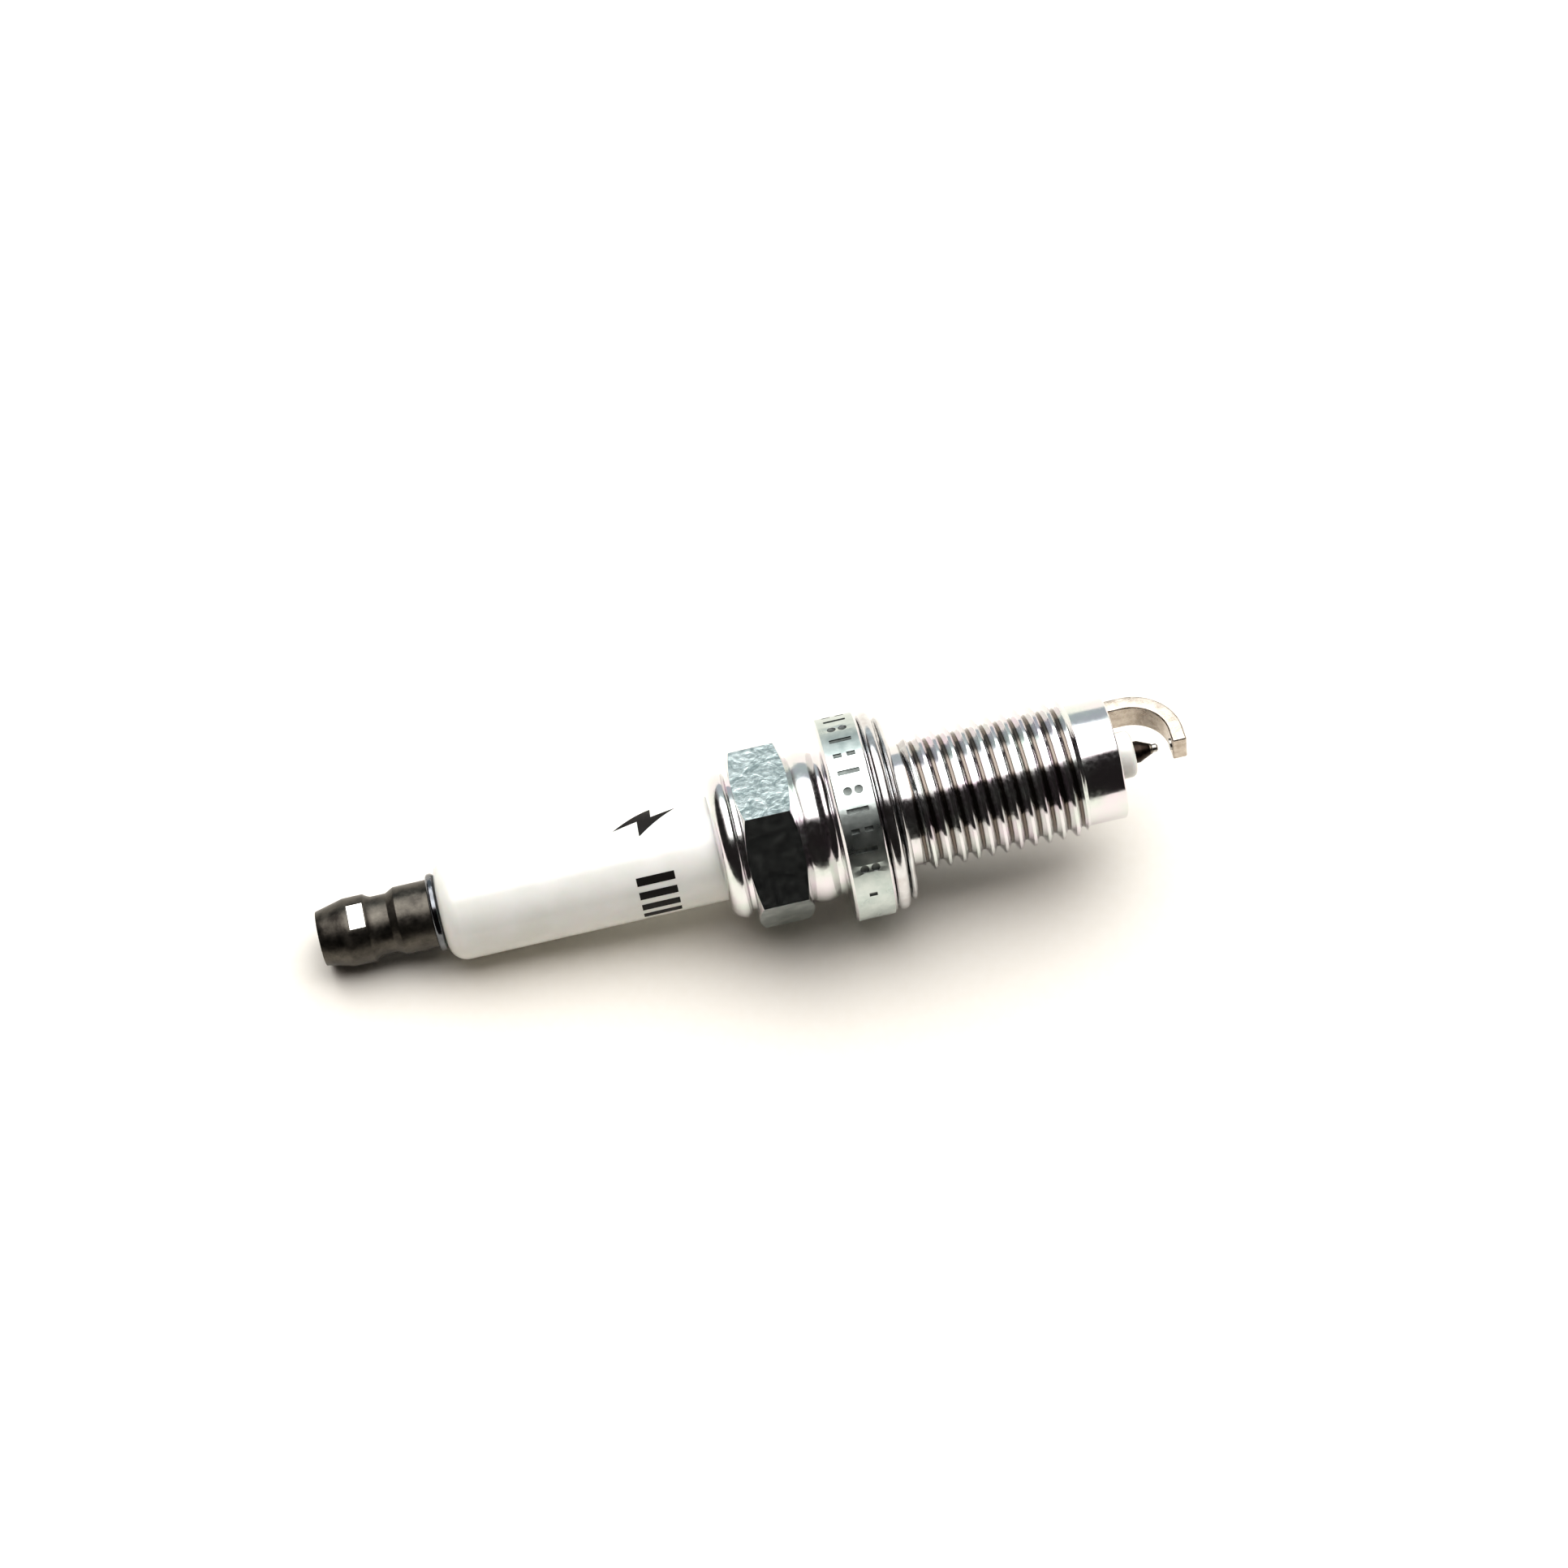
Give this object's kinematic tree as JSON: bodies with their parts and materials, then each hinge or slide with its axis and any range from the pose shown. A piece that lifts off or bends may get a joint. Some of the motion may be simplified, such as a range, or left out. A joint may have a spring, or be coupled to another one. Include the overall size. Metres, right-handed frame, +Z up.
{
  "type": "spark plug",
  "caption": "Spark plug with a bare ceramic insulator, push-on terminal, hex shell, folded gasket, metric thread and a bent ground strap over a fine centre pin.",
  "frame": {"origin": "on the plug's axis, at the gasket's sealing face", "axes": "+X along the axis towards the firing end; +Z up, square to the axis"},
  "size_m": [0.0762, 0.0176, 0.0176],
  "materials": {
    "terminal_nut_steel": "satin",
    "stud_steel": "satin",
    "glazed_alumina": "gloss",
    "plated_shell": "polished",
    "plated_gasket": "polished",
    "packing_steel": "satin",
    "talc": "matte",
    "seal_glass": "satin",
    "resistor_mass": "matte",
    "nickel_alloy": "satin",
    "copper_core": "satin",
    "precious_tip": "satin",
    "weld_metal": "satin"
  },
  "bodies": {
    "plug": {"terminal_nut": "terminal_nut_steel", "terminal_stud": "stud_steel", "insulator": "glazed_alumina", "metal_shell": "plated_shell", "upper_packing_ring": "packing_steel", "talc_filling": "talc", "lower_packing_ring": "packing_steel", "seat_washer": "packing_steel", "upper_glass_seal": "seal_glass", "resistor": "resistor_mass", "lower_glass_seal": "seal_glass", "center_electrode": "nickel_alloy", "electrode_core": "copper_core", "electrode_tip": "precious_tip", "tip_weld": "weld_metal", "ground_electrode": "nickel_alloy", "ground_core": "copper_core", "ground_pad": "precious_tip", "ground_weld": "weld_metal"},
    "gasket": {"gasket": "plated_gasket"}
  },
  "joints": [
    {"name": "gasket_spin", "type": "hinge", "parent": "plug", "child": "gasket", "pos_m": [-0.001, 0, 0], "axis": [1, 0, 0], "continuous": true}
  ]
}
